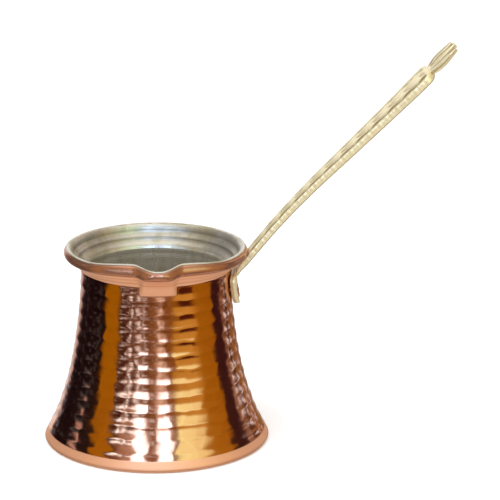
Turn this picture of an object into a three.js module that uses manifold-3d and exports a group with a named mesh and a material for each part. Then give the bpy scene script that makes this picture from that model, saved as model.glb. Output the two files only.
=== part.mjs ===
// A hand-hammered copper coffee pot (cezve) with a turned rim, a pressed pouring spout,
// a tinned inside and a long cast brass handle riveted to the neck.
// Units are millimetres and +Z is up. The origin is the middle of the flat base.
// The spout points along -Y and the handle rises towards +X.
import * as THREE from "three";
import { mergeVertices } from "three/addons/utils/BufferGeometryUtils.js";
import Module from "manifold-3d";

// ---- driving dimensions -------------------------------------------------------------

// copper vessel
const BASE_R = 47.4;
const NECK_R = 31.3;
const CREASE_Z = 74.5;
const RIM_R = 38.3;
const RIM_TOP_Z = 83.3;
const WALL = 1.2;
const FLOOR = 1.5;
const TURNS = 72;

// tin coat, a thin skin that follows the copper's inner face
const TIN_GAP = 0.12;
const TIN = 0.3;

// pouring spout and the rim that is pinched in on both sides of it
const PINCH_FULL = 17;
const PINCH_END = 54;
const PINCH_IN = 2.65;
const PINCH_UP = 1.25;
const SPOUT_LIP_FLAT = 1;
const SPOUT_LIP_END = 18;
const SPOUT_FOOT_FLAT = 10.5;
const SPOUT_FOOT_END = 14.5;
const SPOUT_OUT = 5.0;
const SPOUT_DOWN = 1.4;
const SPOUT_FOOT_Z = 70.5;
const SPOUT_FOOT_SHARE = 0.3;

// cast brass handle: a strap whose middle line is given by points in the XZ plane
const STRAP_LINE = [
  [33.4, 71.4],
  [35.2, 74.4],
  [37.4, 76.9],
  [39.6, 79.6],
  [43.1, 83.9],
  [49.0, 91.0],
  [62.0, 105.2],
  [82.0, 125.0],
  [101.6, 144.4],
  [117.2, 160.2],
  [129.0, 172.0],
];
const STRAP_THICK = 2.7;
const STRAP_THICK_END = 3.4;

// the strap's plan: half its width at places along its rise, which starts at PLAN_START
const STRAP_PITCH = (45 * Math.PI) / 180;
const PLAN_START = [36.4, 73.6];
const STRAP_HALF_WIDTHS = [
  [-6, 4.6],
  [4, 4.6],
  [33, 5.1],
  [57, 6.4],
  [74, 7.6],
  [91, 8.6],
  [105, 9.8],
];
const SHOULDER_AT = 111.5;
const FINIAL_LENGTH = 16.5;

// mounting plate, a shield bent round the neck
const PLATE_THICK = 2.3;
const PLATE_GAP = 0.35;
const PLATE_HALF_WIDTH = 9.8;
const PLATE_TOP_Z = 72.6;
const PLATE_LOW_Z = 58.4;

// rivets: [height, sideways place]
const RIVET_PLACES = {
  rivet_upper_near: [65.7, -5.3],
  rivet_upper_far: [65.7, 5.3],
  rivet_lower: [61.4, 0],
};
const RIVET_SHANK_R = 1.3;
const RIVET_HEAD_R = 2.1;
const RIVET_HEAD_RISE = 0.9;
const RIVET_CLEARANCE = 0.3;
const RIVET_SIDES = 20;

// ---- solids -------------------------------------------------------------------------

const wasm = await Module();
wasm.setup();

// A closed geometry as a solid that can be joined and cut.
function solid(geometry) {
  const bare = new THREE.BufferGeometry();
  const source = geometry.index ? geometry.toNonIndexed() : geometry;
  bare.setAttribute("position", source.getAttribute("position"));
  const merged = mergeVertices(bare, 1e-4);
  return new wasm.Manifold(
    new wasm.Mesh({
      numProp: 3,
      vertProperties: new Float32Array(merged.attributes.position.array),
      triVerts: new Uint32Array(merged.index.array),
    }),
  );
}

// A joined or cut solid as a geometry.
function geometryOf(shape) {
  const mesh = shape.getMesh();
  const geometry = new THREE.BufferGeometry();
  geometry.setAttribute("position", new THREE.BufferAttribute(mesh.vertProperties, 3));
  geometry.setIndex(new THREE.BufferAttribute(mesh.triVerts, 1));
  return geometry;
}

const smooth = THREE.MathUtils.smoothstep;
const mix = THREE.MathUtils.lerp;

// ---- the vessel's shape -------------------------------------------------------------

// Outer face of the copper from the base's middle to the top of the rim.
function outerProfile() {
  return [
    [0, 0],
    [BASE_R - 1.5, 0],
    [BASE_R - 0.5, 0.4],
    [BASE_R, 1.2],
    [BASE_R - 1.5, 4.3],
    [44.4, 7.2],
    [42.6, 11],
    [40.7, 16],
    [38.75, 22],
    [36.6, 30],
    [34.55, 40],
    [32.85, 52],
    [31.75, 63],
    [31.35, 70.5],
    [NECK_R, CREASE_Z],
    [NECK_R + 2.6, CREASE_Z + 2.6],
    [RIM_R - 1.9, CREASE_Z + 4.7],
    [RIM_R - 0.5, CREASE_Z + 5.2],
    [RIM_R, CREASE_Z + 6.4],
    [RIM_R - 0.15, CREASE_Z + 7.6],
    [RIM_R - 0.8, RIM_TOP_Z - 0.4],
    [RIM_R - 1.7, RIM_TOP_Z],
  ].map(([r, z]) => new THREE.Vector2(r, z));
}

// Inner face of the copper, from just above the rim down to the middle of the floor.
function innerProfile() {
  return [
    [RIM_R - 1.9, RIM_TOP_Z + 0.9],
    [RIM_R - 2.3, RIM_TOP_Z - 0.25],
    [RIM_R - 3.0, RIM_TOP_Z - 1.7],
    [RIM_R - 4.2, CREASE_Z + 4.9],
    [NECK_R + 0.9, CREASE_Z + 2.6],
    [NECK_R - WALL, CREASE_Z + 0.3],
    [31.35 - WALL, 70.3],
    [31.75 - WALL, 62.9],
    [32.85 - WALL, 51.8],
    [34.55 - WALL, 39.7],
    [36.6 - WALL, 29.7],
    [38.75 - WALL, 21.6],
    [40.7 - WALL, 15.5],
    [42.6 - WALL, 10.4],
    [44.4 - WALL, 6.4],
    [BASE_R - 3.5, 3.6],
    [BASE_R - 5.2, FLOOR + 0.5],
    [BASE_R - 8, FLOOR],
    [0, FLOOR],
  ].map(([r, z]) => new THREE.Vector2(r, z));
}

// A profile set off by a distance, to the right of its own direction, with mitred corners.
function offset(profile, distance) {
  const last = profile.length - 1;
  const sideways = (from, to) => {
    const along = to.clone().sub(from).normalize();
    return new THREE.Vector2(along.y, -along.x);
  };
  return profile.map((point, i) => {
    const next = sideways(profile[Math.min(i, last - 1)], profile[Math.min(i + 1, last)]);
    const previous = sideways(profile[Math.max(i - 1, 0)], profile[Math.max(i, 1)]);
    const mitre = next.clone().add(previous).divideScalar(1 + next.dot(previous));
    return point.clone().addScaledVector(mitre, distance);
  });
}

// A solid of revolution about the Z axis, with the spout and the pinched rim pressed into
// it. The profile runs from the axis at the bottom to the axis at the top.
function turned(profile) {
  const geometry = new THREE.LatheGeometry(profile, TURNS);
  geometry.rotateX(Math.PI / 2);
  const position = geometry.getAttribute("position");
  for (let i = 0; i < position.count; i += 1) {
    const x = position.getX(i);
    const y = position.getY(i);
    const z = position.getZ(i);
    const pressed = press(Math.hypot(x, y), Math.atan2(x, -y), z);
    const scale = pressed.r / Math.max(Math.hypot(x, y), 1e-9);
    position.setXYZ(i, x * scale, y * scale, pressed.z);
  }
  return solid(geometry);
}

// Pressing: close to the spout the flare is tipped inwards about the crease, and in the
// spout itself it is pushed out and down. The spout is a box at its foot and a soft dip at
// the lip. The angle is measured from -Y.
function press(r, angle, z) {
  const away = Math.abs(THREE.MathUtils.radToDeg(angle));
  const lift = Math.max(z - CREASE_Z, 0) / (RIM_TOP_Z - CREASE_Z);
  const foot = smooth(z, SPOUT_FOOT_Z, CREASE_Z) * SPOUT_FOOT_SHARE;
  const channel = foot + lift * (1 - SPOUT_FOOT_SHARE);
  const pinch = 1 - smooth(away, PINCH_FULL, PINCH_END);
  const flat = mix(SPOUT_FOOT_FLAT, SPOUT_LIP_FLAT, Math.min(lift, 1));
  const end = mix(SPOUT_FOOT_END, SPOUT_LIP_END, Math.min(lift, 1));
  const spout = 1 - smooth(away, flat, end);
  return {
    r: r - pinch * PINCH_IN * lift + spout * SPOUT_OUT * channel,
    z: z + pinch * PINCH_UP * lift - spout * SPOUT_DOWN * lift,
  };
}

// ---- the handle's shape -------------------------------------------------------------

// The strap seen from the side: its middle line with its thickness set off on both sides.
function strapSide() {
  const line = new THREE.SplineCurve(STRAP_LINE.map(([x, z]) => new THREE.Vector2(x, z)));
  const steps = 26;
  const upper = [];
  const lower = [];
  for (let i = 0; i <= steps; i += 1) {
    const t = i / steps;
    const point = line.getPointAt(t);
    const along = line.getTangentAt(t);
    const half = mix(STRAP_THICK, STRAP_THICK_END, t) / 2;
    upper.push(new THREE.Vector2(point.x - along.y * half, point.y + along.x * half));
    lower.push(new THREE.Vector2(point.x + along.y * half, point.y - along.x * half));
  }
  return new THREE.Shape([...lower, ...upper.reverse()]);
}

// The strap seen from above its top face: it slowly widens to round shoulders, draws in to
// a waist and ends in a tulip of three petals. x runs along the strap, and y across it.
function strapPlan() {
  const waist = SHOULDER_AT + 2.5;
  const tip = SHOULDER_AT + FINIAL_LENGTH;
  const [root, ...rest] = STRAP_HALF_WIDTHS.map(([x, y]) => new THREE.Vector2(x, y));
  const edge = new THREE.Path();
  edge.moveTo(root.x, root.y);
  edge.splineThru(rest);
  edge.quadraticCurveTo(SHOULDER_AT + 1.0, 10.2, SHOULDER_AT + 1.4, 5.4);
  edge.quadraticCurveTo(waist - 1, 2.4, waist, 2.4);
  edge.quadraticCurveTo(waist + 1.5, 7.4, waist + 6, 8.2);
  edge.quadraticCurveTo(waist + 9.5, 8.4, tip - 1.5, 5.6);
  edge.quadraticCurveTo(tip - 5.0, 4.4, tip - 5.5, 2.4);
  edge.quadraticCurveTo(tip - 2.0, 2.6, tip, 0);
  const far = edge.getPoints(4);
  const near = far.slice(0, -1).map((point) => new THREE.Vector2(point.x, -point.y));
  return new THREE.Shape([...near, ...far.reverse()]);
}

// The strap is what the side view and the plan view have in common.
function strap() {
  const depth = 60;
  const flat = { depth, bevelEnabled: false, curveSegments: 5 };
  const side = new THREE.ExtrudeGeometry(strapSide(), flat);
  side.rotateX(Math.PI / 2);
  side.translate(0, depth / 2, 0);
  const plan = new THREE.ExtrudeGeometry(strapPlan(), flat);
  plan.translate(0, 0, -depth / 2);
  plan.rotateY(-STRAP_PITCH);
  plan.translate(PLAN_START[0], 0, PLAN_START[1]);
  return solid(side).intersect(solid(plan));
}

// The plate's outline on the neck: a shield with a rounded foot. x is sideways, y is height.
function plateOutline() {
  const outline = new THREE.Shape();
  const w = PLATE_HALF_WIDTH;
  const shoulderZ = PLATE_TOP_Z - 3.4;
  outline.moveTo(0, PLATE_LOW_Z);
  outline.bezierCurveTo(w * 0.62, PLATE_LOW_Z, w * 0.8, PLATE_LOW_Z + 1.4, w * 0.88, shoulderZ - 4.4);
  outline.bezierCurveTo(w * 1.04, shoulderZ - 1.4, w, PLATE_TOP_Z, w * 0.62, PLATE_TOP_Z);
  outline.lineTo(-w * 0.62, PLATE_TOP_Z);
  outline.bezierCurveTo(-w, PLATE_TOP_Z, -w * 1.04, shoulderZ - 1.4, -w * 0.88, shoulderZ - 4.4);
  outline.bezierCurveTo(-w * 0.8, PLATE_LOW_Z + 1.4, -w * 0.62, PLATE_LOW_Z, 0, PLATE_LOW_Z);
  return outline;
}

// The plate: the outline pushed through a shell that follows the neck at a small gap.
function plate() {
  const inner = PLATE_GAP;
  const outer = PLATE_GAP + PLATE_THICK;
  const neck = [
    [32.3, PLATE_LOW_Z - 1],
    [31.75, 63],
    [31.35, 70.5],
    [NECK_R + 0.1, PLATE_TOP_Z + 1],
  ];
  const ring = [
    ...neck.map(([r, z]) => new THREE.Vector2(r + outer, z)),
    ...neck.map(([r, z]) => new THREE.Vector2(r + inner, z)).reverse(),
  ];
  ring.push(ring[0].clone());
  const shell = new THREE.LatheGeometry(ring, TURNS);
  shell.rotateX(Math.PI / 2);
  const cutter = new THREE.ExtrudeGeometry(plateOutline(), {
    depth: 30,
    bevelEnabled: false,
    curveSegments: 6,
  });
  cutter.rotateX(Math.PI / 2);
  cutter.rotateZ(Math.PI / 2);
  cutter.translate(20, 0, 0);
  return solid(shell).intersect(solid(cutter));
}

// ---- rivets -------------------------------------------------------------------------

// A rivet lies along the radius through its place: a domed head inside the pot, a shank,
// and a peened dome on the plate. The profile is turned about the rivet's own axis.
function rivetAxis([height, sideways]) {
  const wallR = THREE.MathUtils.mapLinear(height, 63, 70.5, 31.75, 31.35);
  const angle = Math.asin(sideways / wallR);
  return { wallR, angle, height };
}

function placed(geometry, axis) {
  geometry.rotateZ(-Math.PI / 2);
  geometry.translate(axis.wallR, 0, axis.height);
  geometry.rotateZ(axis.angle);
  return solid(geometry);
}

function rivet(place) {
  const axis = rivetAxis(place);
  const insideFace = -(WALL + TIN_GAP + TIN + RIVET_CLEARANCE);
  const plateFace = PLATE_GAP + PLATE_THICK + RIVET_CLEARANCE;
  const head = RIVET_HEAD_RISE;
  const profile = [
    [0, insideFace - head],
    [RIVET_HEAD_R * 0.62, insideFace - head * 0.82],
    [RIVET_HEAD_R, insideFace],
    [RIVET_SHANK_R, insideFace],
    [RIVET_SHANK_R, plateFace],
    [RIVET_HEAD_R, plateFace],
    [RIVET_HEAD_R * 0.62, plateFace + head * 0.82],
    [0, plateFace + head],
  ].map(([r, along]) => new THREE.Vector2(r, along));
  return placed(new THREE.LatheGeometry(profile, RIVET_SIDES), axis);
}

// The hole that a rivet's shank passes through, long enough for every layer.
function rivetHole(place) {
  const radius = RIVET_SHANK_R + RIVET_CLEARANCE;
  return placed(new THREE.CylinderGeometry(radius, radius, 14, RIVET_SIDES), rivetAxis(place));
}

// ---- assembly -----------------------------------------------------------------------

const copper = new THREE.MeshStandardMaterial({ color: 0xc87a4a, roughness: 0.25, metalness: 1 });
const tin = new THREE.MeshStandardMaterial({ color: 0xb4afa4, roughness: 0.35, metalness: 1 });
const brass = new THREE.MeshStandardMaterial({ color: 0xd9bd78, roughness: 0.35, metalness: 1 });

// Everything inside the inner face, or inside a face set off from it: the pot's contents.
function contents(inset) {
  const wall = offset(innerProfile(), inset).reverse();
  return turned([...wall, new THREE.Vector2(0, wall.at(-1).y)]);
}

const outside = outerProfile();
const blank = turned([...outside, new THREE.Vector2(0, outside.at(-1).y)]);
const holes = Object.values(RIVET_PLACES).map(rivetHole);
const drilled = (shape) => holes.reduce((rest, hole) => rest.subtract(hole), shape);

const cezve = new THREE.Group();

function add(name, shape, material) {
  const mesh = new THREE.Mesh(geometryOf(shape), material);
  mesh.name = name;
  cezve.add(mesh);
}

add("copper_body", drilled(blank.subtract(contents(0))), copper);
add("tin_lining", drilled(blank.intersect(contents(TIN_GAP)).subtract(contents(TIN_GAP + TIN))), tin);
add("brass_handle", drilled(plate().add(strap())), brass);
for (const [name, place] of Object.entries(RIVET_PLACES)) {
  add(name, rivet(place), copper);
}

export default cezve;
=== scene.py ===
"""A hand-hammered copper coffee pot with a tinned inside and a riveted, cast brass handle.

Surfaces are worked out in millimetres and put into meshes in metres. +Z is up, the spout
points along -Y and the handle rises towards +X. An angle round the pot starts at the spout.
"""

import math

import bpy
import numpy as np
from mathutils import Matrix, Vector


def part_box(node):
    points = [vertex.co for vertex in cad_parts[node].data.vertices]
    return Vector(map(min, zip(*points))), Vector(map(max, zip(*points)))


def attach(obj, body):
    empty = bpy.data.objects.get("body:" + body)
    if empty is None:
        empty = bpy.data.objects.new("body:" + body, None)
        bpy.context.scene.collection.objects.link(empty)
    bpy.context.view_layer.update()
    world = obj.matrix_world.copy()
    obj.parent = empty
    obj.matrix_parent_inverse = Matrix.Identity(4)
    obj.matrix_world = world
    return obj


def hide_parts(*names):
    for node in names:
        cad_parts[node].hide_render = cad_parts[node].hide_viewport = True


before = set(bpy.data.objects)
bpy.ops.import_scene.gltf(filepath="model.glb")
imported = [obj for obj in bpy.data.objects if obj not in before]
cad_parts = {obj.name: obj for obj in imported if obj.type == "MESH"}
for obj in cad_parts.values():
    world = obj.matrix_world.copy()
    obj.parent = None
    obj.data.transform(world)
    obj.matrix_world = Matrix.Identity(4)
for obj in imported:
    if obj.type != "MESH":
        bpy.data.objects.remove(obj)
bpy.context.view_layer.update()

bl_info = {
    "name": "Hammered coffee pot",
    "version": (1, 0, 0),
    "blender": (4, 5, 0),
    "location": "3D View > Sidebar > Coffee pot",
    "description": "Builds a hammered copper coffee pot round its packed frame",
    "category": "Add Mesh",
}

MM = 0.001
POT_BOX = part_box("copper_body")

# the pot's outline, in millimetres
BASE_R = round(POT_BOX[1].x / MM, 1)
NECK_R = 31.3
RIM_R = 38.3
FOOT_TOP_Z = 4.3
CREASE_Z = 74.5
RIM_TOP_Z = 83.3
FLARE_RING_PITCH = 1.45
FLARE_RING_HEIGHT = 0.07
HIDDEN_STEP = 3.2
WALL = 1.2
FLOOR = 1.5
TIN_GAP = 0.12
TIN = 0.3

# hammer marks: how much their places, depths and tilts vary, and the ridges between them
MARK_SHIFT = 0.06
MARK_RISE = 0.045
MARK_SINK = 0.010
MARK_LEAN = 0.008
MARK_NOD = 0.014
RIDGE_SHARPNESS = 60
RIDGE_REACH = 0.035
RIDGE_PROUD = 0.18

# turned rings inside the flare, then painted dark rings of shade on it: (height, place up the pot,
# width)
TIN_RINGS = [
    (0.25, 81.6, 0.7),
    (-0.20, 80.0, 0.6),
    (0.25, 78.2, 0.6),
    (-0.20, 76.4, 0.6),
    (0.25, 73.6, 0.9),
]
# painted shade: dark rings on the flare's tin
TIN_RING_SHADES = [(1.0, 80.9, 0.55), (0.9, 77.6, 0.5), (0.35, 79.2, 0.3)]

# the pressed spout, and the rim pinched in beside it: angles in degrees, the rest in mm
PINCH_FULL = 17
PINCH_END = 54
PINCH_IN = 2.65
PINCH_UP = 1.25
SPOUT_LIP_FLAT = 1
SPOUT_LIP_END = 18
SPOUT_FOOT_FLAT = 10.5
SPOUT_FOOT_END = 14.5
SPOUT_OUT = 5.0
SPOUT_DOWN = 1.4
SPOUT_FOOT_Z = 70.5
SPOUT_FOOT_SHARE = 0.3

# the handle: the strap's middle line in the XZ plane, and places along its 45 degree rise
STRAP_LINE = [
    (33.4, 71.4),
    (35.2, 74.4),
    (37.4, 76.9),
    (39.6, 79.6),
    (43.1, 83.9),
    (49.0, 91.0),
    (62.0, 105.2),
    (82.0, 125.0),
    (101.6, 144.4),
    (117.2, 160.2),
    (129.0, 172.0),
]
PLAN_START = (36.4, 73.6)
SHOULDER_AT = 111.5
WAIST_AT = SHOULDER_AT + 2.5
STRAP_END = WAIST_AT + 3.5
FINIAL_TIP = SHOULDER_AT + 16.5
PLATE_GAP = 0.35
PLATE_THICK = 2.3
PLATE_TOP_Z = 72.6
PLATE_LOW_Z = 58.4

# rivets: height and sideways place
RIVETS = {
    "rivet_upper_near": (65.7, -5.3),
    "rivet_upper_far": (65.7, 5.3),
    "rivet_lower": (61.4, 0.0),
}

SEED = 7


# ---- curves and meshes --------------------------------------------------------------


def smoothstep(value, low, high):
    """0 below low, 1 above high, and 3t^2 - 2t^3 between them."""
    t = np.clip((value - low) / (high - low), 0, 1)
    return t * t * (3 - 2 * t)


def bell(value, middle, width):
    """A Gaussian bump of height 1 round the middle."""
    return np.exp(-(((value - middle) / width) ** 2))


def bells(value, bumps):
    """The sum of Gaussian bumps, each given by its height, middle and width."""
    return sum(height * bell(value, middle, width) for height, middle, width in bumps)


def smooth_line(points, step):
    """Samples about one step apart on a smooth line through the points.

    Between two points the line is a cubic. Its slopes at a point are those of the parabola
    through that point and its two neighbours.
    """
    p = np.asarray(points, float)
    along = np.concatenate([[0], np.cumsum(np.linalg.norm(np.diff(p, axis=0), axis=1))])
    slope = np.gradient(p, along, axis=0)
    t = np.linspace(0, along[-1], max(round(along[-1] / step), 2) + 1)
    i = np.clip(np.searchsorted(along, t, side="right") - 1, 0, len(along) - 2)
    span = (along[i + 1] - along[i])[:, None]
    u = (t - along[i])[:, None] / span
    return (
        p[i] * (1 + 2 * u) * (1 - u) ** 2
        + slope[i] * span * u * (1 - u) ** 2
        + p[i + 1] * u**2 * (3 - 2 * u)
        + slope[i + 1] * span * u**2 * (u - 1)
    )


def sideways(line):
    """Unit normals to the right of a line in a plane."""
    along = np.gradient(line, axis=0)
    along /= np.linalg.norm(along, axis=1)[:, None]
    return np.stack([along[:, 1], -along[:, 0]], axis=1)


def tube_mesh(name, rings, attributes=None):
    """A closed mesh from rings of points, an array of ring by place in the ring by xyz, in mm.

    Neighbouring rings are joined by four-sided faces, and each end is a fan of triangles
    that meet in the middle of the end ring. The faces are turned over if the volume that
    they enclose comes out negative. Attributes are arrays of ring by place in the ring.
    """
    count, around = rings.shape[:2]
    places = rings.reshape(-1, 3)
    places = np.vstack([places, rings[0].mean(axis=0), rings[-1].mean(axis=0)]) * MM
    row, column = np.meshgrid(np.arange(count - 1), np.arange(around), indexing="ij")
    beside = (column + 1) % around
    quads = np.stack(
        [
            row * around + column,
            row * around + beside,
            (row + 1) * around + beside,
            (row + 1) * around + column,
        ],
        axis=-1,
    ).reshape(-1, 4)
    edge = np.arange(around)
    after = (edge + 1) % around
    first = np.stack([np.full(around, count * around), after, edge], axis=1)
    last_ring = (count - 1) * around
    last_middle = np.full(around, count * around + 1)
    last = np.stack([last_middle, last_ring + edge, last_ring + after], axis=1)
    fans = np.vstack([first, last])

    triangles = np.vstack([quads[:, [0, 1, 2]], quads[:, [0, 2, 3]], fans])
    a, b, c = (places[triangles[:, k]] for k in range(3))
    if np.einsum("ij,ij->i", a, np.cross(b, c)).sum() < 0:
        quads, fans = quads[:, ::-1], fans[:, ::-1]

    mesh = bpy.data.meshes.new(name)
    mesh.from_pydata(places.tolist(), [], quads.tolist() + fans.tolist())
    mesh.shade_smooth()
    for label, values in (attributes or {}).items():
        ends = [values[0].mean(), values[-1].mean()]
        layer = mesh.attributes.new(label, "FLOAT", "POINT")
        layer.data.foreach_set("value", np.append(values.ravel(), ends).astype(np.float32))
    piece = bpy.data.objects.new(name, mesh)
    bpy.context.scene.collection.objects.link(piece)
    return piece


def joined(name, pieces):
    """One piece from several, each of which stays a closed shell of its own."""
    with bpy.context.temp_override(active_object=pieces[0], selected_editable_objects=pieces):
        bpy.ops.object.join()
    pieces[0].name = pieces[0].data.name = name
    return pieces[0]


def finish_piece(piece, material, slot, *nodes):
    """Gives a piece its material and sets it on the frame; the slot is not used."""
    piece.data.materials.append(material)
    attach(piece, "root")
    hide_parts(*nodes)


# ---- the pot's shape ----------------------------------------------------------------


def body_line(step):
    """The hammered wall's outer outline, from the foot band up to the crease."""
    points = [
        (BASE_R - 1.5, FOOT_TOP_Z),
        (44.4, 7.2),
        (42.6, 11),
        (40.7, 16),
        (38.75, 22),
        (36.6, 30),
        (34.55, 40),
        (32.85, 52),
        (31.75, 63),
        (31.35, 70.5),
        (NECK_R, CREASE_Z),
    ]
    return smooth_line(points, step)


def inner_line(step):
    """The copper's inner outline, from the middle of the floor up to the lip's inner edge."""
    wall = body_line(2.0)[2:-1] - [WALL, 0.25]
    floor = [
        (0, FLOOR),
        (14, FLOOR),
        (28, FLOOR),
        (BASE_R - 8, FLOOR),
        (BASE_R - 5.2, 2.0),
        (BASE_R - 3.5, 3.6),
    ]
    flare = [
        (NECK_R - WALL, CREASE_Z + 0.3),
        (NECK_R + 0.9, CREASE_Z + 2.6),
        (RIM_R - 4.2, CREASE_Z + 4.9),
        (RIM_R - 3.0, RIM_TOP_Z - 1.7),
        (RIM_R - 2.3, RIM_TOP_Z - 0.25),
    ]
    return smooth_line(np.vstack([floor, wall, flare]), step)


def lip_line(step):
    """The rolled lip, from the flare's outer edge over the top to the inner edge."""
    points = [
        (RIM_R - 1.9, CREASE_Z + 4.7),
        (RIM_R - 0.5, CREASE_Z + 5.2),
        (RIM_R, CREASE_Z + 6.4),
        (RIM_R - 0.15, CREASE_Z + 7.6),
        (RIM_R - 0.8, RIM_TOP_Z - 0.4),
        (RIM_R - 1.7, RIM_TOP_Z),
        (RIM_R - 2.3, RIM_TOP_Z - 0.25),
    ]
    return smooth_line(points, step)


def press(r, angle, z):
    """The pinched rim and the spout, pressed into a turned shape.

    The flare is tipped inwards and up on both sides of the spout, in proportion to the
    height above the crease, and in the spout it is pushed out and down. The spout is a box
    at its foot and a soft dip at the lip.
    """
    away = np.abs(np.degrees(angle))
    lift = np.maximum(z - CREASE_Z, 0) / (RIM_TOP_Z - CREASE_Z)
    channel = smoothstep(z, SPOUT_FOOT_Z, CREASE_Z) * SPOUT_FOOT_SHARE
    channel = channel + lift * (1 - SPOUT_FOOT_SHARE)
    pinch = 1 - smoothstep(away, PINCH_FULL, PINCH_END)
    share = np.minimum(lift, 1)
    flat = SPOUT_FOOT_FLAT + (SPOUT_LIP_FLAT - SPOUT_FOOT_FLAT) * share
    end = SPOUT_FOOT_END + (SPOUT_LIP_END - SPOUT_FOOT_END) * share
    spout = 1 - smoothstep(away, flat, end)
    out = spout * SPOUT_OUT * channel - pinch * PINCH_IN * lift
    up = pinch * PINCH_UP * lift - spout * SPOUT_DOWN * lift
    return r + out, z + up


def turned(line, angles, proud):
    """A line turned round the Z axis, standing proud of itself by so many mm, then pressed."""
    normal = sideways(line)
    r = np.maximum(line[:, :1] + normal[:, :1] * proud, 0)
    z = line[:, 1:] + normal[:, 1:] * proud
    r, z = press(r, angles[None, :], z)
    return np.stack([r * np.sin(angles), -r * np.cos(angles), z], axis=-1)


def angles_round(count):
    """So many even angles round the pot, from -180 degrees up."""
    return (np.arange(count) / count * 2 - 1) * math.pi


def wall_run(wall):
    """Distance along the wall's outline from the foot band to each of its points."""
    return np.concatenate([[0], np.cumsum(np.linalg.norm(np.diff(wall, axis=0), axis=1))])


def hammer_marks(sizes, run, angles, round_up, round_across):
    """Depth of the hammer marks, and how near each place is to a ridge between two marks.

    Marks sit in level rows, one pitch apart along the wall, with as many in a row as fit
    its girth. A mark is a shallow bowl: its height grows with the square of the distance up
    and across from its middle. The wall is the lowest of the bowls near a place, with the
    ridges where they meet rubbed soft. Middles, depths and tilts vary a little.
    """
    chance = np.random.default_rng(SEED)
    pitch = sizes.mark_pitch
    wall = body_line(1.0)
    whole = wall_run(wall)
    rows = int(whole[-1] / pitch) + 4
    row_radius = np.interp((np.arange(rows) - 1) * pitch, whole, wall[:, 0])
    counts = np.round(row_radius * 2 * math.pi / (pitch * 0.98)).astype(int)
    widest = counts.max()
    phase = chance.uniform(0, 1, rows)
    shift = chance.normal(0, MARK_SHIFT, (rows, widest))
    rise = chance.normal(0, MARK_RISE, (rows, widest)) * pitch
    sink = chance.normal(0, MARK_SINK, (rows, widest))
    lean = chance.normal(0, MARK_LEAN, (rows, widest))
    nod = chance.normal(0, MARK_NOD, (rows, widest))

    here = run[:, None] / pitch + 1
    girth = np.interp(run, whole, wall[:, 0])[:, None] * 2 * math.pi
    heights = []
    for row_step in (-1, 0, 1):
        row = np.clip(np.round(here).astype(int) + row_step, 0, rows - 1)
        place = (angles[None, :] / (2 * math.pi) + 0.5) * counts[row] - phase[row]
        for step in (-1, 0, 1):
            column = np.round(place).astype(int) + step
            mark = column % counts[row]
            across = (place - column - shift[row, mark]) / counts[row] * girth
            up = (here - row) * pitch - rise[row, mark]
            bowl = round_up * up**2 + round_across * across**2
            bowl = bowl + sink[row, mark] + lean[row, mark] * across + nod[row, mark] * up
            heights.append(bowl)
    heights = np.sort(np.stack(heights), axis=0)
    shares = np.exp(-RIDGE_SHARPNESS * (heights - heights[0]))
    depth = heights[0] - np.log(shares.sum(axis=0)) / RIDGE_SHARPNESS
    ridge = np.exp(-(heights[1] - heights[0]) / RIDGE_REACH)
    return depth, ridge


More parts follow.
